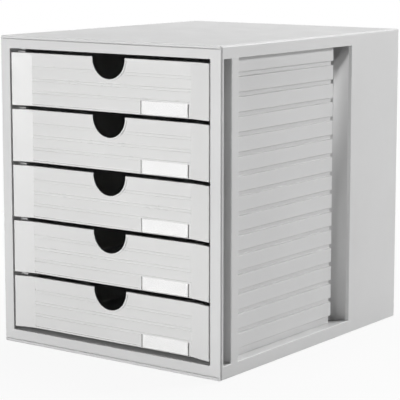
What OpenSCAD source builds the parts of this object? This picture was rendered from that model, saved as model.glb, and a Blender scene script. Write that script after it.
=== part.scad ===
// Desktop file drawer: a housing of moulded panels with five sliding trays.
// The model stands on its feet at z = 0, the drawers face -Y and +X is to the right.

/* [Housing] */
// Overall width of the housing
body_w = 276; // [240:2:320]
// Overall depth from the front face to the back face
body_d = 336; // [290:2:400]
// Height of the housing without its feet
body_h = 320; // [270:2:380]
// Thickness of the side panels
side_t = 2.6; // [2:0.2:3.2]
// Thickness of the top, bottom and back plates
plate_t = 3; // [2.4:0.2:3.6]
// Radius of the long outer edges
edge_r = 2; // [1:0.25:2.25]
// Radius of the edges round the front face
front_r = 1; // [0.5:0.1:1.2]
// Gap that shows as a seam between two panels
seam = 0.3; // [0.2:0.05:0.5]

/* [Front frame] */
// Width of each upright beside the drawers
stile_w = 12; // [10:0.5:15]
// Height of the rail below the drawers
rail_h = 13.6; // [13:0.1:18]
// Height of the rail above the drawers
top_rail_h = 12.8; // [12:0.1:18]
// Thickness of the frame's face
face_t = 1.6; // [1.2:0.1:2]
// Depth of the sleeve that runs back from the opening
sleeve_d = 20; // [16:1:24]
// Wall of the sleeve
sleeve_t = 2; // [1.6:0.2:2.4]
// Radius of the opening's corners
opening_r = 1.5; // [0.5:0.25:3]

/* [Side windows] */
// Front edge of the narrow upright slot, from the front face
slot_y = 5; // [4:0.5:6]
// Width of the upright slot
slot_w = 13.3; // [10:0.5:14]
// Front edge of the large window, from the front face
window_y = 29.5; // [26:0.5:36]
// Length of the large window
window_l = 206.9; // [170:1:230]
// Depth of the window's rear edge where it is turned in
window_lip = 4; // [3:0.5:7]

/* [Rail panels] */
// Thickness of the corrugated sheet
sheet_t = 2; // [1.6:0.2:2.4]
// Depth of the grooves between the sheet's bands
groove_d = 4; // [3:0.25:4.5]
// Height of each groove
groove_h = 4.2; // [3:0.2:5]
// Bevel on the edges of the bands
band_bevel = 0.7; // [0.3:0.1:1]
// Reach of each ledge from the frame's opening line
ledge_l = 10; // [8:0.5:12]
// Thickness of each ledge
ledge_t = 2.4; // [1.8:0.2:3]
// Ledges for one drawer
ledges_each = 3; // [2:1:4]
// Length of the open channel behind the sheet
channel_l = 20.7; // [14:1:26]
// Length over which the channel's rear wall slants in from the window's edge
slant_l = 10.4; // [6:0.4:12]

/* [Drawers] */
// Number of drawers
drawer_count = 5; // [5]
// Gap between one drawer's front and the next
drawer_gap = 3.8; // [2.6:0.1:5]
// Gap above the highest drawer's front
top_gap = 4.2; // [3:0.1:5]
// Gap under the lowest drawer's front
floor_gap = 3.7; // [2:0.1:5]
// Gap at each side of a drawer's front
side_gap = 1.8; // [1:0.1:2.5]
// Thickness of a drawer's front
front_t = 2.5; // [2:0.1:3]
// How far the middle of a front lies behind the frame's face
front_dip = 5; // [3:0.5:6]
// Width of the slanted part at each side of a front
slant_w = 24; // [18:1:30]
// Radius of the long edges of a front
front_edge_r = 0.7; // [0.4:0.1:1]
// Thickness of the tray's walls and floor
tray_t = 1.8; // [1.4:0.1:2.4]
// Radius of the tray's lower edges
tray_r = 4; // [3:0.5:6]
// How far a tray's rim stays below the top of its front
rim_drop = 2.5; // [2:0.25:4]
// Running clearance at the ledges
run_gap = 0.3; // [0.2:0.05:0.5]
// Clearance at each side of a tray
play = 0.5; // [0.4:0.1:1]
// How far a drawer slides out to its stop
travel = 240; // [180:5:260]

/* [Finger cut-out] */
// Radius of the half-round cut-out
cut_r = 20.5; // [16:0.5:22]
// Width of the raised rim round the cut-out
cut_rim_w = 1.8; // [1.2:0.2:3]
// How far that rim and the bead along the top edge stand proud
cut_rim_h = 0.8; // [0.6:0.1:1.2]
// Bevel behind the cut-out, which leaves it a thin edge
cut_bevel = 1.9; // [1:0.1:2.2]

/* [Front grooves] */
// Height of the bead along the top edge, and of the single line over the bottom edge
line_edge = 2.3; // [1.8:0.1:3]
// Width of a fine line
line_w = 0.7; // [0.5:0.1:1]
// Depth of a fine line
line_d = 0.6; // [0.3:0.1:0.9]
// Distance between the two lines of a pair
pair_w = 2.8; // [2:0.2:4]
// Number of pairs of lines
pair_count = 3; // [2:1:4]

/* [Label] */
// Width of the label card
card_w = 54.8; // [45:1:60]
// Height of the label's pocket
pocket_h = 13.3; // [10:0.5:15]
// Depth of the label's pocket
pocket_d = 1.3; // [1.1:0.1:1.6]
// Thickness of the card
card_t = 0.4; // [0.3:0.1:0.5]
// Width of the slit by which the card is changed
slit_w = 2.4; // [1.5:0.1:3]
// Distance from the slit to the slanted part of the front
label_inset = 2.8; // [2:0.2:6]

/* [Feet] */
// Radius of each rubber foot
foot_r = 8; // [6:0.5:10]
// How far the feet stand below the housing
foot_h = 1; // [0.6:0.2:2]
// Depth of the pocket that holds a foot
foot_sink = 1.5; // [1:0.25:2.5]
// Distance from the feet to the housing's sides
foot_inset = 28; // [22:1:45]

/* [Hidden] */
$fn = 64;
eps = 0.01;
half_w = body_w / 2;
panel_x = half_w - side_t - seam;
open_x = half_w - stile_w;
open_top = body_h - top_rail_h;
front_h = (open_top - top_gap - rail_h - floor_gap + drawer_gap) / drawer_count - drawer_gap;
pitch = front_h + drawer_gap;
front_x = open_x - side_gap;
flat_x = front_x - slant_w;
deck_z = rail_h - sleeve_t - 0.7;
deck_t = 2.5;
window_end = window_y + window_l;
window_low = rail_h + seam;
window_high = open_top;
ledge_step = pitch / ledges_each;
ledge_count = drawer_count * ledges_each;
ledge_rise = 0.3;
ledge_low = rail_h + floor_gap + ledge_rise;
band_x = open_x + sheet_t;
groove_x = band_x - groove_d;
ledge_x = open_x - ledge_l;
rail_y = sleeve_d + seam;
rail_end = window_end - channel_l;
rail_play = 0.2;
rail_top = body_h - plate_t - 0.5;
band_top = open_top - 1;
channel_x = groove_x - sheet_t - 2;
channel_gap = 2;
tray_x = ledge_x - play;
rim_x = channel_x - play;
rim_z = front_h - rim_drop;
lip_t = 1.6;
rim_bevel = 0.6;
ledge_top = groove_h + sheet_t + ledge_rise;
lip_z = ledge_top + (ledges_each - 1) * ledge_step + run_gap;
tray_z = 1.2;
tray_end = body_d - plate_t - 0.6;
stop_x = rim_x - 2.8;
stop_y = 13;
stop_t = 4;
stop_z = rim_z + 0.8;
stop_h = 2.6;
lug_h = stop_h + 0.6;
lug_y = stop_y + stop_t + travel + run_gap;
lug_l = 8;
lug_t = 2.6;
lug_ramp = 5.5;
cut_z = front_h - 1;
slant_turn = atan(front_dip / slant_w);
slant_reach = 2.4 * slant_w;
line_step = (front_h - 2 * line_edge) / (pair_count + 1);
back_y = front_dip + front_t;
bend_x = flat_x + 0.4;
end_y = front_t + 0.4;
join_t = 0.6;
slit_x = flat_x - label_inset;
slit_start = slit_x - slit_w + 0.4;
card_x = slit_x - slit_w - card_w / 2;
label_margin = 1.2;
pocket_x = card_x - card_w / 2 - label_margin;
pocket_z = 0.6;
card_play = 0.2;
window_t = pocket_d - card_t;
film_play = 0.1;
foot_play = 0.2;
foot_x = half_w - foot_inset;
foot_y = [foot_inset, body_d - foot_inset];
skirt_t = 2.5;
rib_t = 1.8;
sheet_sink = 1.2;
frame_grey = [0.80, 0.81, 0.82];
side_grey = [0.77, 0.78, 0.79];
inner_grey = [0.72, 0.73, 0.74];
drawer_grey = [0.86, 0.87, 0.88];

// Puts the front face and the underside of the housing where they stand in the model.
module in_place() { translate([0, -body_d / 2, foot_h]) children(); }

// Puts a piece of drawer n in its place; drawer 1 is the top one.
module in_drawer(n) {
    in_place() translate([0, 0, rail_h + floor_gap + (drawer_count - n) * pitch]) children();
}

module both_sides() {
    children();
    mirror([1, 0, 0]) children();
}

// A box given by its low and high corners.
module block(low, high) { translate(low) cube(high - low); }

// Extrudes an outline of (x, z) points along +Y from y0 to y1.
module along_y(y0, y1) {
    translate([0, y1, 0]) rotate([90, 0, 0]) linear_extrude(y1 - y0) children();
}

// Extrudes an outline of (y, z) points along +X from x0 to x1.
module along_x(x0, x1) {
    rotate([90, 0, 90]) translate([0, 0, x0]) linear_extrude(x1 - x0) children();
}

// A rectangle with one radius on its two low corners and another on its two high ones.
module soft_rect(low, high, r_low, r_high) {
    width = high[0] - low[0];
    translate([low[0], low[1] + r_low]) square([width, high[1] - low[1] - r_low - r_high]);
    for (end = [[low[1] + r_low, r_low], [high[1] - r_high, r_high]]) {
        r = end[1];
        if (r > 0) {
            for (x = [r, width - r]) translate([low[0] + x, end[0]]) circle(r);
            translate([low[0] + r, end[0] - r]) square([width - 2 * r, 2 * r]);
        }
    }
}

// The outer form of the whole housing, with all its edges rounded.
module envelope() {
    intersection() {
        along_y(0, body_d) soft_rect([-half_w, 0], [half_w, body_h], edge_r, edge_r);
        linear_extrude(body_h) soft_rect([-half_w, 0], [half_w, body_d], front_r, edge_r);
        along_x(-half_w, half_w)
            mirror([1, -1]) soft_rect([0, 0], [body_h, body_d], front_r, edge_r);
    }
}

// ---- Housing ----

// The bezel round the drawers: a thin face, a sleeve, and the stops for the drawers.
module front_frame() {
    color(frame_grey) in_place() difference() {
        union() {
            intersection() {
                envelope();
                difference() {
                    block([-half_w, 0, 0], [half_w, face_t, body_h]);
                    for (z = [-eps, body_h - plate_t - seam])
                        block([-panel_x - seam, -1, z],
                              [panel_x + seam, face_t + 1, z + plate_t + seam + eps]);
                }
            }
            block([-open_x - sleeve_t, face_t / 2, rail_h - sleeve_t],
                  [open_x + sleeve_t, sleeve_d, open_top + sleeve_t]);
            both_sides() block([panel_x - 2, face_t / 2, rail_h], [panel_x, slot_y - 0.5, open_top]);
        }
        difference() {
            along_y(-1, sleeve_d + 1)
                soft_rect([-open_x, rail_h], [open_x, open_top], opening_r, opening_r);
            for (n = [0:drawer_count - 1]) both_sides() frame_stop(n);
        }
    }
}

// A peg on the sleeve that the lug on a drawer's rim runs against.
module frame_stop(n) {
    z = rail_h + floor_gap + n * pitch + stop_z;
    block([stop_x, stop_y, z], [open_x + eps, stop_y + stop_t, z + stop_h]);
}

module top_panel() {
    cross = channel_x - 1;
    rib_h = 6;
    cross_h = 4;
    color(side_grey) in_place() {
        intersection() {
            envelope();
            block([-panel_x, 0, body_h - plate_t], [panel_x, body_d, body_h]);
        }
        both_sides() for (x = [groove_x + rail_play, groove_x - sheet_t - rail_play - rib_t])
            block([x, rail_y, rail_top - rib_h],
                  [x + rib_t, rail_end - sheet_t - 1, body_h - plate_t + eps]);
        for (i = [1:3])
            block([-cross, i * body_d / 4, rail_top - cross_h],
                  [cross, i * body_d / 4 + rib_t, body_h - plate_t + eps]);
    }
}

// A raised deck on skirts, with a thin base edge that shows under the front frame.
module bottom_panel() {
    skirt_y = [face_t + seam, body_d - plate_t - seam];
    rib_z = deck_z - deck_t - 2.5;
    color(side_grey) in_place() difference() {
        union() {
            intersection() {
                envelope();
                block([-panel_x, 0, 0], [panel_x, body_d, plate_t]);
            }
            block([-panel_x, skirt_y[0], 0], [panel_x, skirt_y[1], deck_z]);
        }
        difference() {
            block([-panel_x + skirt_t, skirt_y[0] + skirt_t, -1],
                  [panel_x - skirt_t, skirt_y[1] - skirt_t, deck_z - deck_t]);
            for (i = [1:4])
                block([-panel_x, i * body_d / 5, rib_z], [panel_x, i * body_d / 5 + rib_t, deck_z]);
            for (x = [-1, 1] * body_w / 6)
                block([x - rib_t / 2, 0, rib_z], [x + rib_t / 2, body_d, deck_z]);
            at_feet() cylinder(h = deck_z, r = foot_r + skirt_t);
        }
        at_feet() translate([0, 0, -1]) cylinder(h = foot_sink + 1, r = foot_r + foot_play);
        both_sides() block([groove_x - sheet_t - rail_play, rail_y - rail_play,
                            deck_z - sheet_sink - rail_play / 2],
                           [groove_x + rail_play, rail_end + rail_play, deck_z + 1]);
    }
}

module at_feet() {
    for (x = [-foot_x, foot_x], y = foot_y) translate([x, y, 0]) children();
}

// Four rubber discs, pressed into the pockets under the bottom panel.
module rubber_feet() {
    bevel = 0.8;
    color([0.16, 0.16, 0.17]) in_place() at_feet() rotate_extrude()
        polygon([[0, -foot_h], [foot_r - bevel, -foot_h], [foot_r, -foot_h + bevel],
                 [foot_r, foot_sink], [0, foot_sink]]);
}

module back_panel() {
    border = 14;
    corner_r = 6;
    color(side_grey) in_place() difference() {
        block([-panel_x, body_d - plate_t, plate_t + seam],
              [panel_x, body_d, body_h - plate_t - seam]);
        along_y(body_d - 1, body_d + 1)
            soft_rect([-panel_x + border, plate_t + border],
                      [panel_x - border, body_h - plate_t - border], corner_r, corner_r);
    }
}

// An outer side wall: a slot, a large window with turned-in edges, and ribs for the plates.
module side_panel() {
    rib = 4;
    wall = 2;
    inner = half_w - side_t;
    color(side_grey) in_place() {
        intersection() {
            envelope();
            difference() {
                block([inner, face_t + seam, 0], [half_w, body_d, body_h]);
                block([inner - 1, slot_y, window_low], [half_w + 1, slot_y + slot_w, window_high]);
                block([inner - 1, window_y, window_low], [half_w + 1, window_end, window_high]);
            }
        }
        // The wall behind the slot, and the window's front and rear edges.
        for (y = [slot_y + slot_w, window_y - wall])
            block([band_x + seam + rail_play, y, window_low], [inner + eps, y + wall, window_high]);
        block([half_w - window_lip, window_end, window_low - wall],
              [inner + eps, window_end + wall, window_high + wall]);
        // Seats for the top plate and the back plate.
        block([inner - rib, rail_end + rib, body_h - plate_t - seam - wall],
              [inner + eps, body_d - 2 * rib, body_h - plate_t - seam]);
        block([inner - rib, body_d - plate_t - seam - wall, deck_z + wall],
              [inner + eps, body_d - plate_t - seam, body_h - plate_t - wall]);
    }
}

module right_side_panel() { side_panel(); }
module left_side_panel() { mirror([1, 0, 0]) side_panel(); }

// Height of the underside of groove k in the corrugated sheet.
function groove_z(k) = ledge_low + k * ledge_step;

// The sheet's outer contour, from the deck up: bands with bevelled edges, grooves between.
function outer_contour() = concat(
    [[groove_x, deck_z - sheet_sink], [groove_x, groove_z(0) + groove_h]],
    [for (k = [0:ledge_count - 1])
        let (low = groove_z(k) + groove_h,
             high = k == ledge_count - 1 ? band_top : groove_z(k + 1))
        each [[groove_x, low], [band_x - band_bevel, low], [band_x, low + band_bevel],
              [band_x, high - band_bevel], [band_x - band_bevel, high], [groove_x, high]]],
    [[groove_x, rail_top]]);

// The sheet's inner contour, from the top down, with a ledge over each groove.
function inner_contour() = concat(
    [[groove_x - sheet_t, rail_top], [groove_x - sheet_t, band_top - sheet_t],
     [open_x, band_top - sheet_t]],
    [for (i = [0:ledge_count - 1])
        let (k = ledge_count - 1 - i,
             low = groove_z(k) - sheet_t,
             high = groove_z(k) + groove_h + sheet_t)
        each concat([[open_x, high], [ledge_x, high], [ledge_x, high - ledge_t],
                     [groove_x - sheet_t, high - ledge_t]],
                    k == 0 ? [] : [[groove_x - sheet_t, low], [open_x, low]])],
    [[groove_x - sheet_t, deck_z - sheet_sink]]);

// A corrugated sheet that carries the drawers, with an open channel behind it. The channel's
// rear wall slants out to the window's edge.
module rail_panel() {
    outer = outer_contour();
    slant_x = half_w - window_lip - seam;
    slant_y = window_end - slant_l;
    color(inner_grey) in_place() {
        along_y(rail_y, rail_end) polygon(concat(outer, inner_contour()));
        along_y(rail_end - sheet_t, rail_end)
            polygon(concat(outer, [[channel_x, rail_top], [channel_x, deck_z + channel_gap],
                                   [groove_x - sheet_t, deck_z + channel_gap],
                                   [groove_x - sheet_t, deck_z - sheet_sink]]));
        translate([0, 0, deck_z + channel_gap])
            linear_extrude(window_high + 2 - deck_z - channel_gap)
                polygon([[channel_x, rail_end - sheet_t], [channel_x + sheet_t, rail_end - sheet_t],
                         [channel_x + sheet_t, slant_y], [slant_x, window_end],
                         [slant_x, window_end + sheet_t], [slant_x - 1, window_end + sheet_t],
                         [channel_x, slant_y + 1]]);
    }
}

module right_rail_panel() { rail_panel(); }
module left_rail_panel() { mirror([1, 0, 0]) rail_panel(); }

// ---- Drawers ----

// Outline of a drawer's front seen from above: flat in the middle, slanted at the sides.
module front_outline() {
    bevel = 0.8;
    polygon([[-front_x, bevel], [-front_x + bevel, 0], [-flat_x, front_dip], [flat_x, front_dip],
             [front_x - bevel, 0], [front_x, bevel], [front_x, end_y],
             [bend_x, back_y], [-bend_x, back_y], [-front_x, end_y]]);
}

// The space before the back of a drawer's face, less the overlap that joins the tray to it.
module before_face() {
    polygon([[-front_x, -1], [front_x, -1], [front_x, end_y - join_t], [bend_x, back_y - join_t],
             [-bend_x, back_y - join_t], [-front_x, end_y - join_t]]);
}

// A level fine line on the flat part of a front, with its middle at height z.
module fine_line(z, from_x, to_x) {
    block([from_x, front_dip - 1, z - line_w / 2], [to_x, front_dip + line_d, z + line_w / 2]);
}

module fine_lines() {
    label_end = pocket_x - label_margin;
    fine_line(line_edge, -flat_x, label_end);
    for (i = [1:pair_count], side = [-1, 1]) {
        z = line_edge + i * line_step + side * pair_w / 2;
        over_label = z > pocket_z + pocket_h + line_w;
        fine_line(z, -flat_x, over_label ? flat_x : label_end);
    }
}

// The space behind a face plane at depth y, with its long front edges rounded to radius r.
module behind_face(y, length, r) {
    depth = 12;
    along_x(-length / 2, length / 2)
        mirror([1, -1]) soft_rect([0, y], [front_h, y + depth], r, 0);
}

// The space behind the hollow face: flat in the middle, slanted at the sides.
module face_space() {
    behind_face(front_dip, 2 * front_x, front_edge_r);
    both_sides() translate([flat_x, front_dip, 0]) rotate([0, 0, -slant_turn])
        behind_face(0, slant_reach, front_edge_r);
}

// The raised bead along the top edge and the raised rim round the cut-out.
module raised_edge() {
    bead_x = (flat_x + front_x) / 2;
    intersection() {
        behind_face(front_dip - cut_rim_h, 2 * front_x, cut_rim_h / 2);
        block([-front_x, 0, 0], [front_x, back_y, front_h]);
        union() {
            block([-bead_x, 0, front_h - line_edge], [bead_x, back_y, front_h]);
            translate([0, back_y - eps, cut_z]) rotate([90, 0, 0]) rotate_extrude()
                soft_rect([cut_r / 2, 0], [cut_r + cut_rim_w, front_t + cut_rim_h], 0, cut_rim_h / 2);
        }
    }
}

// The drawer's face, with its fine lines, its bead and the rim of its cut-out.
module drawer_front() {
    difference() {
        intersection() {
            linear_extrude(front_h) front_outline();
            face_space();
        }
        fine_lines();
    }
    raised_edge();
}

// The finger cut-out, bevelled from behind so that its edge is thin.
module finger_cut() {
    translate([0, back_y, cut_z]) rotate([90, 0, 0]) {
        translate([0, 0, -1]) cylinder(h = back_y + 2, r = cut_r);
        rotate_extrude() polygon([[0, -1], [cut_r + cut_bevel, -1], [cut_r + cut_bevel, 0],
                                  [cut_r, cut_bevel], [0, cut_bevel]]);
    }
    block([-cut_r, -1, cut_z], [cut_r, back_y + 1, front_h + 1]);
}

// The pocket for the label, with a slit at its right end by which the card is changed.
module label_pocket() {
    block([pocket_x, front_dip - 2, pocket_z],
          [slit_x, front_dip + pocket_d, pocket_z + pocket_h]);
    block([slit_start, front_dip - 2, pocket_z], [slit_x, back_y + 1, pocket_z + pocket_h]);
}

// Cross-section of the tray: a box with rounded lower edges.
module tray_section(shrink) {
    soft_rect([-tray_x + shrink, tray_z + shrink], [tray_x - shrink, rim_z + shrink],
              tray_r - shrink, 0);
}

// Outline of the tray's inside seen from above; its front follows the drawer's face.
module tray_plan() {
    inner = tray_x - tray_t;
    inner_y = end_y + (front_x - inner) * (back_y - end_y) / (front_x - flat_x);
    polygon([[-inner, inner_y], [-bend_x, back_y], [bend_x, back_y], [inner, inner_y],
             [inner, tray_end - tray_t], [-inner, tray_end - tray_t]]);
}

// The rim along one side of the tray: a turned-down lip that runs on a ledge, and a stop lug.
module side_rim() {
    along_y(front_t, tray_end)
        polygon([[tray_x - tray_t, rim_z - tray_t], [rim_x - lip_t, rim_z - tray_t],
                 [rim_x - lip_t, lip_z], [rim_x, lip_z], [rim_x, rim_z - rim_bevel],
                 [rim_x - rim_bevel, rim_z], [tray_x - tray_t, rim_z]]);
    along_x(stop_x, stop_x + lug_t)
        polygon([[lug_y, rim_z - eps], [lug_y + lug_l, rim_z - eps],
                 [lug_y + lug_l - lug_ramp, rim_z + lug_h], [lug_y, rim_z + lug_h]]);
}

// The tray behind the face, open at the top.
module tray() {
    difference() {
        along_y(front_t + 1, tray_end) tray_section(0);
        intersection() {
            along_y(0, body_d) tray_section(tray_t);
            linear_extrude(front_h + 10) tray_plan();
        }
        translate([0, 0, -1]) linear_extrude(front_h + 2) before_face();
    }
}

module drawer(n) {
    color(drawer_grey) in_drawer(n) {
        difference() {
            union() {
                drawer_front();
                tray();
            }
            finger_cut();
            label_pocket();
        }
        both_sides() side_rim();
    }
}

module drawer_1() { drawer(1); }
module drawer_2() { drawer(2); }
module drawer_3() { drawer(3); }
module drawer_4() { drawer(4); }
module drawer_5() { drawer(5); }

// A plain paper strip on the floor of the label's pocket.
module label_card(n) {
    y = front_dip + pocket_d;
    color("white") in_drawer(n)
        block([card_x - card_w / 2, y - card_t, pocket_z + card_play],
              [card_x + card_w / 2, y, pocket_z + pocket_h - card_play]);
}

module label_card_1() { label_card(1); }
module label_card_2() { label_card(2); }
module label_card_3() { label_card(3); }
module label_card_4() { label_card(4); }
module label_card_5() { label_card(5); }

// The clear strip that holds the card in its pocket.
module label_window(n) {
    color([0.9, 0.95, 1, 0.4]) in_drawer(n)
        block([pocket_x + film_play, front_dip, pocket_z + film_play],
              [slit_start - card_play, front_dip + window_t - film_play / 2,
               pocket_z + pocket_h - film_play]);
}

module label_window_1() { label_window(1); }
module label_window_2() { label_window(2); }
module label_window_3() { label_window(3); }
module label_window_4() { label_window(4); }
module label_window_5() { label_window(5); }

front_frame();
top_panel();
bottom_panel();
back_panel();
left_side_panel();
right_side_panel();
left_rail_panel();
right_rail_panel();
rubber_feet();
drawer_1();
drawer_2();
drawer_3();
drawer_4();
drawer_5();
label_card_1();
label_card_2();
label_card_3();
label_card_4();
label_card_5();
label_window_1();
label_window_2();
label_window_3();
label_window_4();
label_window_5();
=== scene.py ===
# %% [markdown]
# # A desktop file drawer
# A light grey desktop box of moulded plastic with five sliding trays. Each tray has a slightly
# hollow front with fine lines, a half-round finger cut-out and a label in a pocket. The CAD model
# already has every size and every joint, so the first step loads it as a fixed frame, and each
# later step gives one piece the finish or the softness of the real moulding.

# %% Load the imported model
import math

import bmesh
import bpy
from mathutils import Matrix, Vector

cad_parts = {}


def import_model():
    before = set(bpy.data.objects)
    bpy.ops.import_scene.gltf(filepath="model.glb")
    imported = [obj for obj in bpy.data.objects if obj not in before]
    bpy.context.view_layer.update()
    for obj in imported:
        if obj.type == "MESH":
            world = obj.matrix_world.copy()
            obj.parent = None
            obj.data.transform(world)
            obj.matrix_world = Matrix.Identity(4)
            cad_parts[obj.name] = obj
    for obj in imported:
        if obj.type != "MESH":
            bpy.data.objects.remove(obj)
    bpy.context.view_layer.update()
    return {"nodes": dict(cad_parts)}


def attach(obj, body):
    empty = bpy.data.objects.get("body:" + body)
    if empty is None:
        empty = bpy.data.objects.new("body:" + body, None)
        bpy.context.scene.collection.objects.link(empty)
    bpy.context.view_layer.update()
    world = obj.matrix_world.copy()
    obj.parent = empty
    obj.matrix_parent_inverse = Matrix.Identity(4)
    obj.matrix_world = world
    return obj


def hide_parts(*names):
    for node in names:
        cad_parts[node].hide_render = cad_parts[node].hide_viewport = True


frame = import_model()

# %% [markdown]
# ## The camera
# The photograph was taken from the right, a little above the box, with a long lens. A camera in
# Blender looks along its own -Z, so it is first tipped up to the horizon, then down by the small
# pitch, and then turned about the world's Z. A stronger shift would keep the upright edges
# parallel, but it would push the box out of every other view, so most of the tilt is a real one.

# %% Camera
CAMERA_PLACE = (1.0149, -1.4079, 0.4257)
CAMERA_TURN = math.radians(36.0)
CAMERA_PITCH = math.radians(-8.2)
TO_HORIZON = math.radians(90)
CAMERA_LENS, SENSOR_WIDTH = 147.7, 36
CAMERA_SHIFT = -0.08
FARTHEST = 50

camera_data = bpy.data.cameras.new("camera")
camera_data.lens = CAMERA_LENS
camera_data.sensor_width = SENSOR_WIDTH
camera_data.shift_y = CAMERA_SHIFT
camera_data.clip_end = FARTHEST
camera = bpy.data.objects.new("camera", camera_data)
camera.location = CAMERA_PLACE
camera.rotation_euler = (TO_HORIZON + CAMERA_PITCH, 0, CAMERA_TURN)
bpy.context.scene.collection.objects.link(camera)
bpy.context.scene.camera = camera
print("camera lens:", camera_data.lens, "mm")

# %% [markdown]
# ## Small helpers for materials
# A material is a small program. These helpers add a node, set its values by name and join two
# sockets, so that each finish below reads as a short recipe.


# %% Helpers for materials
def new_material(name):
    """An empty material with only its output node, and the tree to build in."""
    material = bpy.data.materials.new(name)
    material.use_nodes = True
    tree = material.node_tree
    tree.nodes.clear()
    tree.nodes.new("ShaderNodeOutputMaterial")
    return material, tree


def add(tree, kind, **values):
    """Adds a node. A value's name is an input's name with _ for a space, or a property."""
    node = tree.nodes.new(kind)
    inputs = {socket.name.lower(): socket for socket in reversed(node.inputs)}
    for name, value in values.items():
        socket = inputs.get(name.replace("_", " ").lower())
        if socket:
            socket.default_value = value
        else:
            setattr(node, name, value)
    return node


def join(tree, source, output, target, socket):
    tree.links.new(source.outputs[output], target.inputs[socket])


def output_of(tree):
    return next(n for n in tree.nodes if n.type == "OUTPUT_MATERIAL")


print("helpers: new_material, add, join, output_of")

# %% [markdown]
# ## Moulded polystyrene
# The box is made of one light grey plastic with a satin, lightly spark-eroded skin. Real mouldings
# are never one flat colour: the shade drifts a little where the melt flowed, the gloss changes
# with it, and a fine grain breaks up the highlights. An image could show this, but noise on the
# object's own coordinates needs no unwrapping and keeps its real size on every piece. Rounded
# edges are rubbed by use, so they get a second, slightly lighter and glossier skin.

# %% Plastic finish
DRIFT_SCALE, SHEEN_SCALE = 9, 60
DARKEST, LIGHTEST = 0.975, 1.02
GLOSS_DRIFT = 0.05
NOISE_LOW, NOISE_HIGH = 0.3, 0.7
MM_PER_METRE = 1000


def moulded_plastic(name, shade, gloss=0.42, grain_mm=0.5, grain_depth_mm=0.02):
    """Satin plastic: drifting shade, drifting gloss and a fine grain in the surface."""
    material, tree = new_material(name)
    place = add(tree, "ShaderNodeTexCoord")
    drift = add(tree, "ShaderNodeTexNoise", Scale=DRIFT_SCALE, Detail=3, Roughness=0.55)
    join(tree, place, "Object", drift, "Vector")
    tint = add(tree, "ShaderNodeValToRGB")
    low, high = tint.color_ramp.elements
    low.position, high.position = NOISE_LOW, NOISE_HIGH
    low.color = (*[c * DARKEST for c in shade], 1)
    high.color = (*[min(1, c * LIGHTEST) for c in shade], 1)
    join(tree, drift, "Fac", tint, "Fac")
    sheen = add(tree, "ShaderNodeTexNoise", Scale=SHEEN_SCALE, Detail=4, Roughness=0.6)
    join(tree, place, "Object", sheen, "Vector")
    rough = add(tree, "ShaderNodeMapRange", From_Min=NOISE_LOW, From_Max=NOISE_HIGH,
                To_Min=gloss - GLOSS_DRIFT, To_Max=gloss + GLOSS_DRIFT)
    join(tree, sheen, "Fac", rough, "Value")
    grain = add(tree, "ShaderNodeTexNoise", Scale=MM_PER_METRE / grain_mm, Detail=2, Roughness=0.5)
    join(tree, place, "Object", grain, "Vector")
    bump = add(tree, "ShaderNodeBump", Strength=0.6, Distance=grain_depth_mm / MM_PER_METRE)
    join(tree, grain, "Fac", bump, "Height")
    shader = add(tree, "ShaderNodeBsdfPrincipled", IOR=1.55)
    join(tree, tint, "Color", shader, "Base Color")
    join(tree, rough, "Result", shader, "Roughness")
    join(tree, bump, "Normal", shader, "Normal")
    join(tree, shader, "BSDF", output_of(tree), "Surface")
    return material


housing_skin = moulded_plastic("housing_skin", (0.66, 0.66, 0.66))
housing_edge = moulded_plastic("housing_edge", (0.70, 0.70, 0.70), gloss=0.32)
drawer_skin = moulded_plastic("drawer_skin", (0.70, 0.70, 0.695), gloss=0.38, grain_mm=0.4)
drawer_edge = moulded_plastic("drawer_edge", (0.74, 0.74, 0.735), gloss=0.3, grain_mm=0.4)
print("plastics:", housing_skin.name, housing_edge.name, drawer_skin.name, drawer_edge.name)

# %% [markdown]
# ## Card and rubber
# The label is plain uncoated card, which shows short fibres in its surface. The feet are dull
# black rubber that has taken up some dust. Both are the same recipe: one noise moves the colour a
# little and raises the surface with it, so one helper makes the two.

# %% Card and rubber
CARD_DARK, CARD_LIGHT = (0.92, 0.92, 0.915, 1), (0.97, 0.97, 0.965, 1)
RUBBER_DARK, RUBBER_LIGHT = (0.012, 0.012, 0.013, 1), (0.035, 0.034, 0.033, 1)


def speckled(name, noise, dark, light, strength, height, roughness):
    """A dull material whose colour and surface follow one fine noise."""
    material, tree = new_material(name)
    place = add(tree, "ShaderNodeTexCoord")
    speck = add(tree, "ShaderNodeTexNoise", **noise)
    join(tree, place, "Object", speck, "Vector")
    tint = add(tree, "ShaderNodeValToRGB")
    low, high = tint.color_ramp.elements
    low.color, high.color = dark, light
    join(tree, speck, "Fac", tint, "Fac")
    bump = add(tree, "ShaderNodeBump", Strength=strength, Distance=height)
    join(tree, speck, "Fac", bump, "Height")
    shader = add(tree, "ShaderNodeBsdfPrincipled", Roughness=roughness)
    join(tree, tint, "Color", shader, "Base Color")
    join(tree, bump, "Normal", shader, "Normal")
    join(tree, shader, "BSDF", output_of(tree), "Surface")
    return material


fibres = {"Scale": 1500, "Detail": 5, "Roughness": 0.7, "Distortion": 1.5}
dust = {"Scale": 400, "Detail": 4}
card_finish = speckled("plain_card", fibres, CARD_DARK, CARD_LIGHT, 0.4, 0.00003, 0.85)
rubber_finish = speckled("foot_rubber", dust, RUBBER_DARK, RUBBER_LIGHT, 0.5, 0.00005, 0.75)
print("dull finishes:", card_finish.name, rubber_finish.name)

# %% [markdown]
# ## Clear film
# A strip of clear film keeps each card in its pocket. A refracting glass would leave the card
# under it in the dark, so the film is mostly transparent, with only a gloss on top that drifts
# with a faint haze.

# %% Clear film
FILM_ALPHA, FILM_IOR = 0.05, 1.49
FILM_CLEAREST, FILM_HAZIEST = 0.06, 0.18


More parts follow.
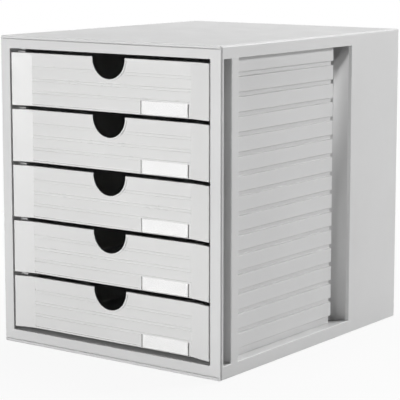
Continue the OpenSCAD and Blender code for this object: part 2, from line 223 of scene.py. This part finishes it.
def clear_film():
    material, tree = new_material("clear_film")
    place = add(tree, "ShaderNodeTexCoord")
    haze = add(tree, "ShaderNodeTexNoise", Scale=300, Detail=3)
    join(tree, place, "Object", haze, "Vector")
    rough = add(tree, "ShaderNodeMapRange", To_Min=FILM_CLEAREST, To_Max=FILM_HAZIEST)
    join(tree, haze, "Fac", rough, "Value")
    shader = add(tree, "ShaderNodeBsdfPrincipled", Alpha=FILM_ALPHA, IOR=FILM_IOR)
    shader.inputs["Base Color"].default_value = (0.95, 0.95, 0.95, 1)
    join(tree, rough, "Result", shader, "Roughness")
    join(tree, shader, "BSDF", output_of(tree), "Surface")
    return material


film_finish = clear_film()
print("film:", film_finish.name, "alpha", FILM_ALPHA)

# %% [markdown]
# ## Soft edges on the mouldings
# A moulding leaves its tool with edges rounded by a few tenths of a millimetre, and hands polish
# them a little further. The CAD pieces have knife-sharp ones, which catch no light. Rounding every
# edge in the CAD would make it heavy, so each piece is copied here instead: the loose triangles
# are welded into whole faces, and a Bevel modifier rounds the edges that are long enough to take
# it. The modifier reads a weight on each edge, so a crowded corner keeps its shape.

# %% Soft-edged copies
SHARP = math.radians(35)
COPLANAR = math.radians(0.3)
LENGTH_NEEDED, ROOM_NEEDED = 4, 1.5


def weld(source, distance):
    """The mesh of a CAD piece as whole faces in place of loose triangles."""
    work = bmesh.new()
    work.from_mesh(source.data)
    bmesh.ops.remove_doubles(work, verts=work.verts, dist=distance)
    bmesh.ops.dissolve_limit(work, angle_limit=COPLANAR, verts=work.verts, edges=work.edges)
    return work


def weigh_edges(work, width):
    """Gives weight 1 to each sharp edge with room for a rounding of this width."""
    weight = work.edges.layers.float.new("bevel_weight_edge")
    chosen = 0
    for edge in work.edges:
        if not edge.is_manifold or edge.calc_face_angle(0) < SHARP:
            continue
        beside = min(other.calc_length() for end in edge.verts for other in end.link_edges)
        if edge.calc_length() > LENGTH_NEEDED * width and beside > ROOM_NEEDED * width:
            edge[weight] = 1
            chosen += 1
    return chosen


def rounded(name, work, width, skin, edge_skin):
    """An object from this mesh; a modifier rounds its sharp edges and gives them their skin."""
    chosen = weigh_edges(work, width)
    mesh = bpy.data.meshes.new(name)
    work.to_mesh(mesh)
    work.free()
    mesh.materials.append(skin)
    mesh.materials.append(edge_skin)
    piece = bpy.data.objects.new(name, mesh)
    bpy.context.scene.collection.objects.link(piece)
    rounding = piece.modifiers.new("rounding", "BEVEL")
    rounding.limit_method = "WEIGHT"
    rounding.width = width
    rounding.segments = 2
    rounding.use_clamp_overlap = False
    rounding.material = 1
    print(f"{name}: {chosen} edges rounded")
    return piece


print("edges sharper than", round(math.degrees(SHARP)), "degrees are rounded")

# %% [markdown]
# ## Open seams
# Where two panels meet, both have a small chamfer, so the seam shows as a fine dark line between
# two light beads. The chamfers could be modelled on each panel, but one cut does both sides at
# once: a bar with a square section, laid on its corner along the seam, is taken out of every panel
# that it touches.

# %% Seams of the housing
SEAM_REACH = 0.0008
BAR_HALF_LENGTH = 0.2
TOP_SEAM_X, TOP_SEAM_Z, BASE_SEAM_Z, FRAME_SEAM_Y = 0.13525, 0.31785, 0.00415, -0.16625
SIDE_FACE_X, FRONT_FACE_Y, TOP_FACE_Z, MID_Z = 0.138, -0.168, 0.321, 0.16
ACROSS, ALONG, UP = Vector((1, 0, 0)), Vector((0, 1, 0)), Vector((0, 0, 1))
SEAMS = [(Vector((0, FRONT_FACE_Y, TOP_SEAM_Z)), ACROSS),
         (Vector((0, FRONT_FACE_Y, BASE_SEAM_Z)), ACROSS)]
for sign in (1, -1):
    SEAMS.append((Vector((sign * TOP_SEAM_X, 0, TOP_FACE_Z)), ALONG))
    SEAMS.append((Vector((sign * SIDE_FACE_X, FRAME_SEAM_Y, MID_Z)), UP))
print("seams:", len(SEAMS))


# %% [markdown]
# ## Cutting the seams
# The Boolean modifier works on objects, so the bars and a copy of the panel are objects for as
# long as the cut takes. The result is read back as a mesh, its flat faces are made whole again,
# and the helpers are deleted.

# %% Seam cutter
def bar(middle, direction):
    """A long bar along a direction, its square section standing on a corner."""
    mesh = bpy.data.meshes.new("bar")
    sides = [axis * SEAM_REACH for axis in (ACROSS, ALONG, UP) if axis != direction]
    ring = [sides[0], sides[1], -sides[0], -sides[1]]
    points = [middle + end * direction * BAR_HALF_LENGTH + corner for end in (-1, 1)
              for corner in ring]
    faces = [(0, 1, 2, 3), (7, 6, 5, 4)]
    faces += [(n, n + 4, (n + 1) % 4 + 4, (n + 1) % 4) for n in range(4)]
    mesh.from_pydata([tuple(point) for point in points], [], faces)
    work = bmesh.new()
    work.from_mesh(mesh)
    bmesh.ops.recalc_face_normals(work, faces=work.faces)
    work.to_mesh(mesh)
    work.free()
    cutter = bpy.data.objects.new("bar", mesh)
    bpy.context.scene.collection.objects.link(cutter)
    return cutter


def with_open_seams(work):
    """The same piece with each seam's bar cut out of it."""
    mesh = bpy.data.meshes.new("panel")
    work.to_mesh(mesh)
    work.free()
    panel = bpy.data.objects.new("panel", mesh)
    bpy.context.scene.collection.objects.link(panel)
    bars = [bar(middle, direction) for middle, direction in SEAMS]
    for cutter in bars:
        cut = panel.modifiers.new("seam", "BOOLEAN")
        cut.operation = "DIFFERENCE"
        cut.solver = "EXACT"
        cut.object = cutter
    shape = panel.evaluated_get(bpy.context.evaluated_depsgraph_get())
    result = bmesh.new()
    result.from_mesh(shape.to_mesh())
    bmesh.ops.dissolve_limit(result, angle_limit=COPLANAR, verts=result.verts,
                             edges=result.edges)
    for piece in (panel, *bars):
        helper = piece.data
        bpy.data.objects.remove(piece)
        bpy.data.meshes.remove(helper)
    return result


print("each seam is", round(2 * SEAM_REACH * MM_PER_METRE, 1), "mm wide at its mouth")

# %% [markdown]
# ## The housing
# Six mouldings stand round the drawers: the front frame, top, base, back and two sides. They all
# get the same treatment, so one loop cuts their seams, rounds their edges and hangs each on the
# housing's body in place of its CAD piece.

# %% Housing panels
HOUSING_WELD = 1e-6
HOUSING_ROUNDING = 0.0003
PANELS = ("front_frame", "top_panel", "bottom_panel", "back_panel",
          "left_side_panel", "right_side_panel")
for node in PANELS:
    panel = rounded(node + "_moulding", with_open_seams(weld(frame["nodes"][node], HOUSING_WELD)),
                    HOUSING_ROUNDING, housing_skin, housing_edge)
    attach(panel, "housing")
    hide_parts(node)
print("housing panels:", len(PANELS))

# %% [markdown]
# ## Sills of the side openings
# In the photograph the window's lower edge runs level into the box, up to the corrugated sheet and
# under the slanted wall, and the slot has the same small sill. The CAD deck lies a little lower,
# so two thin sills are added on each side. Each is a flat outline drawn up to its height, which is
# simpler than a box with its corners moved, because the outline steps round the sheet's end.

# %% Outlines of the sills
SILL_LOW, SILL_TOP = 0.0121, 0.01485
SILL_ROUNDING = 0.0001
SHEET_X, PANEL_X, CHANNEL_X, WALL_FOOT_X = 0.123, 0.1356, 0.121, 0.1337
WINDOW_FRONT, SHEET_END, WALL_START, WALL_FOOT, WINDOW_BACK = (-0.1405, 0.0465, 0.0585, 0.0699,
                                                               0.0704)
SLOT_FRONT, SLOT_BACK = -0.1635, -0.1477
WINDOW_SILL = [(SHEET_X, WINDOW_FRONT), (PANEL_X, WINDOW_FRONT), (PANEL_X, WINDOW_BACK),
               (WALL_FOOT_X, WALL_FOOT), (CHANNEL_X, WALL_START), (CHANNEL_X, SHEET_END),
               (SHEET_X, SHEET_END)]
SLOT_SILL = [(SHEET_X, SLOT_FRONT), (PANEL_X, SLOT_FRONT), (PANEL_X, SLOT_BACK),
             (SHEET_X, SLOT_BACK)]
print("sill thickness:", round((SILL_TOP - SILL_LOW) * MM_PER_METRE, 2), "mm")

# %% [markdown]
# ## Drawing the sills up
# A slab has its outline as the top face, the same outline turned over as the lower one, and one
# side face for each edge between them. The left sills mirror the right ones. Their points are then
# taken in the other order, so that the faces still look outwards.

# %% Sills
def slab(outline, low, high):
    """A closed slab between two heights; the outline runs anticlockwise seen from above."""
    work = bmesh.new()
    work.faces.new([work.verts.new((x, y, high)) for x, y in outline])
    work.faces.new([work.verts.new((x, y, low)) for x, y in reversed(outline)])
    work.verts.ensure_lookup_table()
    count = len(outline)
    for n in range(count):
        after = (n + 1) % count
        work.faces.new([work.verts[after], work.verts[n],
                        work.verts[2 * count - 1 - n], work.verts[2 * count - 1 - after]])
    work.normal_update()
    return work


for opening, outline in (("window", WINDOW_SILL), ("slot", SLOT_SILL)):
    for side, sign in (("right", 1), ("left", -1)):
        around = [(sign * x, y) for x, y in outline][::sign]
        sill = rounded(f"{side}_{opening}_sill", slab(around, SILL_LOW, SILL_TOP),
                       SILL_ROUNDING, housing_skin, housing_edge)
        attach(sill, "housing")

# %% [markdown]
# ## The drawers
# Each drawer is one moulding: a hollow front with a bead along its top, a rim round the finger
# cut-out and pairs of fine lines, and behind it a shallow tray. The CAD has all of these forms, so
# the copies only get their soft edges. They ride on the five drawer bodies, so each one slides
# with its own joint. Their mesh has a few very short edges, which a wider weld clears away.

# %% Drawers
DRAWERS = range(1, 6)
DRAWER_WELD = 2e-5
DRAWER_ROUNDING = 0.00025
for n in DRAWERS:
    drawer = rounded(f"drawer_{n}_moulding", weld(frame["nodes"][f"drawer_{n}"], DRAWER_WELD),
                     DRAWER_ROUNDING, drawer_skin, drawer_edge)
    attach(drawer, f"drawer_{n}_slider")
    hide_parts(f"drawer_{n}")
print("drawers:", len(DRAWERS))

# %% [markdown]
# ## A tree of geometry nodes for the corrugated sheet
# Behind each side window stands a corrugated sheet. Its form follows a rule: fifteen grooves at
# one pitch, each with a band above it outside and a ledge for the drawers inside. A rule is a job
# for Geometry Nodes: a line of points is bent into the sheet's section by each point's index, the
# corners are rounded, and the section is filled and drawn out to the sheet's length. First come
# the small helpers that write such a tree.


# %% Helpers for geometry trees
def geometry_tree(name, sizes):
    """A tree with one named input for each size, and the input and output nodes."""
    tree = bpy.data.node_groups.new(name, "GeometryNodeTree")
    tree.interface.new_socket("Geometry", in_out="OUTPUT", socket_type="NodeSocketGeometry")
    for size, value in sizes.items():
        kind = "NodeSocketInt" if isinstance(value, int) else "NodeSocketFloat"
        socket = tree.interface.new_socket(size, in_out="INPUT", socket_type=kind)
        socket.default_value = value
    return tree, tree.nodes.new("NodeGroupInput").outputs, tree.nodes.new("NodeGroupOutput")


def put(tree, kind, *values, **settings):
    """Adds a node with these settings and plugs numbers or sockets into its inputs in order."""
    node = tree.nodes.new(kind)
    for name, value in settings.items():
        setattr(node, name, value)
    usable = [socket for socket in node.inputs if socket.enabled]
    for socket, value in zip(usable, values):
        if isinstance(value, bpy.types.NodeSocket):
            tree.links.new(value, socket)
        else:
            socket.default_value = value
    return node


def calc(tree, operation, a, b=0.0):
    return put(tree, "ShaderNodeMath", a, b, operation=operation).outputs[0]


def total(tree, *terms):
    """The sum of the terms; a term given as ("-", term) is taken away."""
    result = terms[0]
    for term in terms[1:]:
        minus = isinstance(term, tuple)
        result = calc(tree, "SUBTRACT" if minus else "ADD", result, term[1] if minus else term)
    return result


print("helpers: geometry_tree, put, calc, total")

# %% [markdown]
# ## Helpers that choose by number
# The points of the section are told apart by their numbers. A comparison with a number half way
# between two points is safe, whatever the last digit of a float may be.

# %% Helpers that choose
HALF_WAY = 0.5


def before(tree, number, limit):
    """True for the points that come before that number."""
    return calc(tree, "LESS_THAN", number, total(tree, limit, ("-", HALF_WAY)))


def starting(tree, number, limit):
    """True for the point with that number and all that follow."""
    return calc(tree, "GREATER_THAN", number, total(tree, limit, ("-", HALF_WAY)))


def either(tree, test, yes, no):
    """yes where the test is true, otherwise no."""
    return put(tree, "GeometryNodeSwitch", test, no, yes, input_type="FLOAT").outputs[0]


def pick(tree, index, choices):
    """The choice at that index."""
    node = tree.nodes.new("GeometryNodeIndexSwitch")
    node.data_type = "FLOAT"
    while len(node.index_switch_items) < len(choices):
        node.index_switch_items.new()
    tree.links.new(index, node.inputs[0])
    for socket, choice in zip(node.inputs[1:], choices):
        tree.links.new(choice, socket)
    return node.outputs[0]


print("helpers: before, starting, either, pick")

# %% [markdown]
# ## From a row of points to a solid
# This is the part of the tree that does the modelling: a line of points is moved to its places,
# becomes a closed curve with rounded corners, is filled, and is drawn out. The fill is also turned
# over and kept as the lid at the start, so that the solid is closed.

# %% Drawing a section out
JOIN_WITHIN = 1e-6


def drawn_out(tree, count, across, up, radius, length):
    """A closed section of count points, its corners rounded, filled and drawn out along +Z."""
    line = put(tree, "GeometryNodeMeshLine", count)
    place = put(tree, "ShaderNodeCombineXYZ", across, up, 0.0)
    bent = put(tree, "GeometryNodeSetPosition", line.outputs[0], True, place.outputs[0])
    curve = put(tree, "GeometryNodeMeshToCurve", bent.outputs[0])
    closed = put(tree, "GeometryNodeSetSplineCyclic", curve.outputs[0], True, True)
    round_off = tree.nodes.new("GeometryNodeFilletCurve")
    tree.links.new(closed.outputs[0], round_off.inputs["Curve"])
    round_off.mode = "POLY"
    round_off.inputs["Count"].default_value = 2
    round_off.inputs["Limit Radius"].default_value = True
    tree.links.new(radius, round_off.inputs["Radius"])
    filled = put(tree, "GeometryNodeFillCurve", round_off.outputs[0], mode="NGONS")
    reach = put(tree, "ShaderNodeCombineXYZ", 0.0, 0.0, length)
    long = tree.nodes.new("GeometryNodeExtrudeMesh")
    long.mode = "FACES"
    long.inputs["Individual"].default_value = False
    long.inputs["Offset Scale"].default_value = 1
    tree.links.new(filled.outputs[0], long.inputs["Mesh"])
    tree.links.new(reach.outputs[0], long.inputs["Offset"])
    lid = put(tree, "GeometryNodeFlipFaces", filled.outputs[0])
    both = tree.nodes.new("GeometryNodeJoinGeometry")
    tree.links.new(lid.outputs[0], both.inputs[0])
    tree.links.new(long.outputs[0], both.inputs[0])
    merged = put(tree, "GeometryNodeMergeByDistance", both.outputs[0], True, JOIN_WITHIN)
    return merged.outputs[0]


print("helper: drawn_out")

# %% [markdown]
# ## The sizes of the sheet
# Every size is a named input of the tree, in metres, measured from the box's middle and from the
# desk. Changing a number here changes the sheet, as moving a slider in the modifier would.

# %% Sizes of the corrugated sheet
SHEET = {
    "Grooves": 15, "Pitch": 0.0193, "First groove": 0.0186, "Groove height": 0.0042,
    "Band x": 0.128, "Groove x": 0.1252, "Web x": 0.122,
    "Open x": 0.126, "Ledge x": 0.116, "Channel x": 0.120, "Channel low": 0.0139,
    "Wall": 0.002, "Ledge height": 0.0024, "Low bevel": 0.0005, "Top bevel": 0.0006,
    "Low end": 0.0107, "High end": 0.3175, "Band top": 0.3072, "Rounding": 0.0004,
    "Front": -0.1477, "Back": 0.0477, "Channel end": 0.058, "Window end": 0.0684,
    "Window edge x": 0.1337, "Window top": 0.3102}
groove_depth = SHEET["Band x"] - SHEET["Groove x"]
print("groove depth:", round(groove_depth * MM_PER_METRE, 2), "mm")


# %% [markdown]
# ## The outside and the inside of the section
# The section runs up the outside, six points for each groove and the band over it, and down the
# inside, six points for each ledge, after three for the flange at the top. Which groove a point
# belongs to is its number divided by six, and which corner it is, the rest of that division.

# %% Section of the sheet
CORNERS = 6
FLANGE_POINTS = 3


def counted(tree, step):
    """The corner that a point is, and how many groups of corners come before it."""
    corner = calc(tree, "FLOORED_MODULO", step, CORNERS)
    return corner, calc(tree, "FLOOR", calc(tree, "DIVIDE", step, CORNERS))


def groove_floor(tree, size, groove):
    """The height of that groove's lower edge."""
    return total(tree, size["First groove"], calc(tree, "MULTIPLY", groove, size["Pitch"]))


def up_the_outside(tree, size, index, corners):
    """x and z of the points with the grooves and bands, from the low end to the high end."""
    corner, groove = counted(tree, total(tree, index, ("-", 1.0)))
    floor_z = groove_floor(tree, size, groove)
    band_low = total(tree, floor_z, size["Groove height"])
    band_high = calc(tree, "MINIMUM", total(tree, floor_z, size["Pitch"]), size["Band top"])
    band_x, under, over = size["Band x"], size["Low bevel"], size["Top bevel"]
    x = pick(tree, corner, [size["Groove x"], total(tree, band_x, ("-", under)), band_x, band_x,
                            total(tree, band_x, ("-", over)), size["Groove x"]])
    z = pick(tree, corner, [band_low, band_low, total(tree, band_low, under),
                            total(tree, band_high, ("-", over)), band_high, band_high])
    at_top = starting(tree, index, total(tree, corners, 1.0))
    z = either(tree, at_top, size["High end"], z)
    return x, either(tree, before(tree, index, 1.0), size["Low end"], z)


def down_the_inside(tree, size, past, corners):
    """x and z of the points with the ledges; past counts them from the top."""
    corner, passed = counted(tree, total(tree, past, ("-", float(FLANGE_POINTS))))
    groove = total(tree, size["Grooves"], ("-", 1.0), ("-", passed))
    floor_z = groove_floor(tree, size, groove)
    low = total(tree, floor_z, ("-", size["Wall"]))
    high = total(tree, floor_z, size["Groove height"], size["Wall"])
    under = total(tree, high, ("-", size["Ledge height"]))
    x = pick(tree, corner, [size["Open x"], size["Ledge x"], size["Ledge x"], size["Web x"],
                            size["Web x"], size["Open x"]])
    z = pick(tree, corner, [high, high, under, under, low, low])
    cap = total(tree, size["Band top"], ("-", size["Wall"]))
    z = either(tree, before(tree, past, float(FLANGE_POINTS)), cap, z)
    z = either(tree, before(tree, past, 1.0), size["High end"], z)
    last = starting(tree, past, total(tree, corners, 2.0))
    return either(tree, last, size["Web x"], x), either(tree, last, size["Low end"], z)


print("points in the section:", SHEET["Grooves"] * CORNERS * 2 + 2 + FLANGE_POINTS)


# %% [markdown]
# ## The slanted wall
# From the sheet's end plate a thin wall goes back along the channel and slants out to the window's
# rear edge. Seen from above it is a line with one bend, so it is a flat strip swept along three
# points, and the sweep mitres the bend by itself.

# %% Slanted wall
WALL_POINTS = 3


def slanted_wall(tree, size, index, half):
    """The wall behind the window as a solid in its place."""
    middle = total(tree, size["Channel x"], half)
    line = put(tree, "GeometryNodeMeshLine", WALL_POINTS)
    back = [total(tree, size["Back"], ("-", half)), total(tree, size["Channel end"], half),
            total(tree, size["Window end"], half)]
    place = put(tree, "ShaderNodeCombineXYZ",
                pick(tree, index, [middle, middle, size["Window edge x"]]),
                pick(tree, index, back), 0.0)
    bent = put(tree, "GeometryNodeSetPosition", line.outputs[0], True, place.outputs[0])
    path = put(tree, "GeometryNodeMeshToCurve", bent.outputs[0])
    tall = total(tree, size["Window top"], ("-", size["Channel low"]))
    strip = put(tree, "GeometryNodeCurvePrimitiveQuadrilateral", size["Wall"], tall)
    wall = tree.nodes.new("GeometryNodeCurveToMesh")
    tree.links.new(path.outputs[0], wall.inputs["Curve"])
    tree.links.new(strip.outputs[0], wall.inputs["Profile Curve"])
    wall.inputs["Fill Caps"].default_value = True
    centre = calc(tree, "MULTIPLY", total(tree, size["Window top"], size["Channel low"]), 0.5)
    lift = put(tree, "ShaderNodeCombineXYZ", 0.0, 0.0, centre)
    raised = tree.nodes.new("GeometryNodeTransform")
    tree.links.new(wall.outputs[0], raised.inputs["Geometry"])
    tree.links.new(lift.outputs[0], raised.inputs["Translation"])
    return raised.outputs[0]


print("wall height:", round(SHEET["Window top"] - SHEET["Channel low"], 4), "m")


# %% [markdown]
# ## The whole tree
# The end plate has the same outside as the sheet and a straight inside. Sheet and plate are drawn
# out upright and then laid along -Y, and a union makes one moulding of them and the slanted wall.
# Overlapping solids would look the same from outside, but a union leaves no faces inside.

# %% Tree of the corrugated sheet
QUARTER_TURN = math.radians(90)
PLATE_POINTS = 4


def laid_down(tree, solid, back):
    """The solid turned from +Z to -Y, starting at this place."""
    laid = tree.nodes.new("GeometryNodeTransform")
    laid.inputs["Rotation"].default_value = (QUARTER_TURN, 0, 0)
    shift = put(tree, "ShaderNodeCombineXYZ", 0.0, back, 0.0)
    tree.links.new(solid, laid.inputs["Geometry"])
    tree.links.new(shift.outputs[0], laid.inputs["Translation"])
    return laid.outputs[0]


def united(tree, solids, skin):
    """One plain mesh of these solids with this material."""
    union = tree.nodes.new("GeometryNodeMeshBoolean")
    union.operation = "UNION"
    union.solver = "EXACT"
    for solid in solids:
        tree.links.new(solid, union.inputs["Mesh 2"])
    real = put(tree, "GeometryNodeRealizeInstances", union.outputs[0])
    finish = tree.nodes.new("GeometryNodeSetMaterial")
    finish.inputs["Material"].default_value = skin
    tree.links.new(real.outputs[0], finish.inputs["Geometry"])
    return finish.outputs[0]


def corrugated_sheet(skin):
    tree, size, out = geometry_tree("corrugated_sheet", SHEET)
    index = put(tree, "GeometryNodeInputIndex").outputs[0]
    corners = calc(tree, "MULTIPLY", size["Grooves"], CORNERS)
    outside = total(tree, corners, 2.0)
    past = total(tree, index, ("-", outside))
    is_out = before(tree, index, outside)
    half = calc(tree, "MULTIPLY", size["Wall"], 0.5)
    out_x, out_z = up_the_outside(tree, size, index, corners)
    in_x, in_z = down_the_inside(tree, size, past, corners)
    length = total(tree, size["Back"], ("-", size["Front"]))
    count = total(tree, outside, corners, float(FLANGE_POINTS))
    sheet = drawn_out(tree, count, either(tree, is_out, out_x, in_x),
                      either(tree, is_out, out_z, in_z), size["Rounding"], length)
    plate_x = pick(tree, past, [size["Channel x"], size["Channel x"], size["Web x"],
                                size["Web x"]])
    plate_z = pick(tree, past, [size["High end"], size["Channel low"], size["Channel low"],
                                size["Low end"]])
    count = total(tree, outside, float(PLATE_POINTS))
    plate = drawn_out(tree, count, either(tree, is_out, out_x, plate_x),
                      either(tree, is_out, out_z, plate_z), size["Rounding"], size["Wall"])
    wall = slanted_wall(tree, size, index, half)
    sheet = laid_down(tree, sheet, total(tree, size["Back"], ("-", half)))
    plate = laid_down(tree, plate, size["Back"])
    tree.links.new(united(tree, (wall, plate, sheet), skin), out.inputs[0])
    return tree


sheet_tree = corrugated_sheet(housing_skin)
print("sheet tree:", len(sheet_tree.nodes), "nodes")


# %% [markdown]
# ## From the tree to two plain meshes
# The tree runs as a modifier on an empty mesh. Its result is taken as a plain mesh and the helper
# goes. The left sheet is the right one mirrored: a mirrored face looks inwards, so each one is
# turned round again.

# %% Rail panels
def grown(name, tree, sizes):
    """Runs the tree with these sizes and returns the result as a plain mesh."""
    host = bpy.data.objects.new(name, bpy.data.meshes.new(name))
    bpy.context.scene.collection.objects.link(host)
    modifier = host.modifiers.new("tree", "NODES")
    modifier.node_group = tree
    for socket in tree.interface.items_tree:
        if socket.in_out == "INPUT":
            modifier[socket.identifier] = sizes[socket.name]
    shape = host.evaluated_get(bpy.context.evaluated_depsgraph_get())
    mesh = bpy.data.meshes.new_from_object(shape)
    empty = host.data
    bpy.data.objects.remove(host)
    bpy.data.meshes.remove(empty)
    return mesh


def mirrored(mesh):
    """A copy of a mesh on the other side of x = 0, with its faces outwards."""
    work = bmesh.new()
    work.from_mesh(mesh)
    bmesh.ops.scale(work, vec=(-1, 1, 1), verts=work.verts)
    bmesh.ops.reverse_faces(work, faces=work.faces)
    other = mesh.copy()
    work.to_mesh(other)
    work.free()
    return other


right_sheet = grown("sheet", sheet_tree, SHEET)
for side, mesh in (("right", right_sheet), ("left", mirrored(right_sheet))):
    sheet = bpy.data.objects.new(f"{side}_corrugated_sheet", mesh)
    bpy.context.scene.collection.objects.link(sheet)
    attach(sheet, "housing")
    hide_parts(f"{side}_rail_panel")
print("sheet faces:", len(right_sheet.polygons))

# %% [markdown]
# ## Finishes for the pieces that stay as they are
# Cards, films and feet are simple forms that the CAD already has right, so they keep it and only
# get their finish.

# %% Finishes
FINISHES = {"label_card": card_finish, "label_window": film_finish, "rubber": rubber_finish}
for name, piece in frame["nodes"].items():
    for start, material in FINISHES.items():
        if name.startswith(start):
            piece.data.materials.clear()
            piece.data.materials.append(material)
            print(name, "is", material.name)

# %% [markdown]
# ## The floor
# The box stands on a pale floor that runs into a white background. To the camera the floor is
# mostly a plain white glow, and only near the box does enough of its matt skin show to take the
# soft shadow. The light that it throws back on the box is that of a mid-grey floor: a white one
# would fill the fine shadows in the grooves from below.

# %% Floor
FLOOR_REACH = 20
FLOOR_GREY = 0.45
GLOW_NEAR, GLOW_FROM, GLOW_TO = 0.92, 0.25, 0.8


def pale_floor():
    """Matt, and to the camera more and more of a plain white glow away from the box."""
    material, tree = new_material("pale_floor")
    place = add(tree, "ShaderNodeTexCoord")
    away = add(tree, "ShaderNodeVectorMath", operation="LENGTH")
    join(tree, place, "Object", away, 0)
    glow_share = add(tree, "ShaderNodeMapRange", From_Min=GLOW_FROM, From_Max=GLOW_TO,
                     To_Min=GLOW_NEAR, To_Max=1)
    join(tree, away, "Value", glow_share, "Value")
    seen = add(tree, "ShaderNodeLightPath")
    direct = add(tree, "ShaderNodeMath", operation="MAXIMUM")
    join(tree, seen, "Is Camera Ray", direct, 0)
    join(tree, seen, "Is Glossy Ray", direct, 1)
    every = add(tree, "ShaderNodeMath", operation="MAXIMUM")
    join(tree, direct, 0, every, 0)
    join(tree, seen, "Is Transmission Ray", every, 1)
    share = add(tree, "ShaderNodeMath", operation="MULTIPLY")
    join(tree, every, 0, share, 0)
    join(tree, glow_share, "Result", share, 1)
    matt = add(tree, "ShaderNodeBsdfDiffuse", Color=(FLOOR_GREY, FLOOR_GREY, FLOOR_GREY, 1))
    glow = add(tree, "ShaderNodeEmission", Strength=1)
    mix = add(tree, "ShaderNodeMixShader")
    join(tree, share, 0, mix, 0)
    join(tree, matt, 0, mix, 1)
    join(tree, glow, 0, mix, 2)
    join(tree, mix, 0, output_of(tree), "Surface")
    return material


floor_mesh = bpy.data.meshes.new("floor")
floor_corners = [(x * FLOOR_REACH, y * FLOOR_REACH, 0)
                 for x, y in ((-1, -1), (1, -1), (1, 1), (-1, 1))]
floor_mesh.from_pydata(floor_corners, [], [(0, 1, 2, 3)])
floor = bpy.data.objects.new("floor", floor_mesh)
floor_mesh.materials.append(pale_floor())
bpy.context.scene.collection.objects.link(floor)
print("floor:", 2 * FLOOR_REACH, "m wide")

# %% [markdown]
# ## The world
# The camera sees plain white round the floor. The world gives the box no light of its own: all of
# that comes from lamps, which can draw a shadow.

# %% World
WORLD_LIGHT = 0.0
world = bpy.data.worlds.new("room")
bpy.context.scene.world = world
world.use_nodes = True
world_tree = world.node_tree
world_tree.nodes.clear()
world_out = world_tree.nodes.new("ShaderNodeOutputWorld")
seen = add(world_tree, "ShaderNodeLightPath")
room = add(world_tree, "ShaderNodeBackground", Strength=WORLD_LIGHT)
white = add(world_tree, "ShaderNodeBackground", Strength=1)
room.inputs["Color"].default_value = white.inputs["Color"].default_value = (1, 1, 1, 1)
world_mix = add(world_tree, "ShaderNodeMixShader")
join(world_tree, seen, "Is Camera Ray", world_mix, 0)
join(world_tree, room, 0, world_mix, 1)
join(world_tree, white, 0, world_mix, 2)
join(world_tree, world_mix, 0, world_out, "Surface")
print("world light:", WORLD_LIGHT)

# %% [markdown]
# ## The lamps
# The photograph has the plain light of a product picture. All lamps stand three to five metres
# away, so the box is lit at its foot as at its top. Three light the front from ahead. A small one
# behind on the right lights the side at a slant, which draws the thin shadow under each band and
# the bead of light on the next one. A low one fills that side, and two high ones light the top.

# %% Lamps
LAMPS = [
    ("front_lamp", (-1.2, -4.0, 1.9), 1.5, 27.5),
    ("low_front_lamp", (-0.9, -3.2, 0.30), 0.7, 38.0),
    ("right_front_lamp", (0.4, -4.0, 0.35), 0.7, 45.0),
    ("side_lamp", (2.6, 3.5, 1.35), 0.35, 118.0),
    ("low_side_lamp", (2.7, 1.7, 0.24), 0.6, 11.5),
    ("top_lamp", (0.45, 1.35, 3.2), 1.6, 68.0),
    ("rear_top_lamp", (-0.5, 0.5, 3.1), 1.8, 55.0)]
BOX_MIDDLE = Vector((0, 0, 0.16))


def lamp(name, place, size, power):
    """A square soft lamp that looks at the middle of the box."""
    data = bpy.data.lights.new(name, "AREA")
    data.size = size
    data.energy = power
    light = bpy.data.objects.new(name, data)
    light.location = place
    light.rotation_euler = (BOX_MIDDLE - Vector(place)).to_track_quat("-Z", "Y").to_euler()
    bpy.context.scene.collection.objects.link(light)


for name, place, size, power in LAMPS:
    lamp(name, place, size, power)
print("lamps:", [name for name, *_ in LAMPS])

# %% [markdown]
# ## The last settings
# The Standard view shows each colour about as it is written, where a film-like view would grey the
# whites.

# %% Sizes and the end
bpy.context.scene.view_settings.view_transform = "Standard"
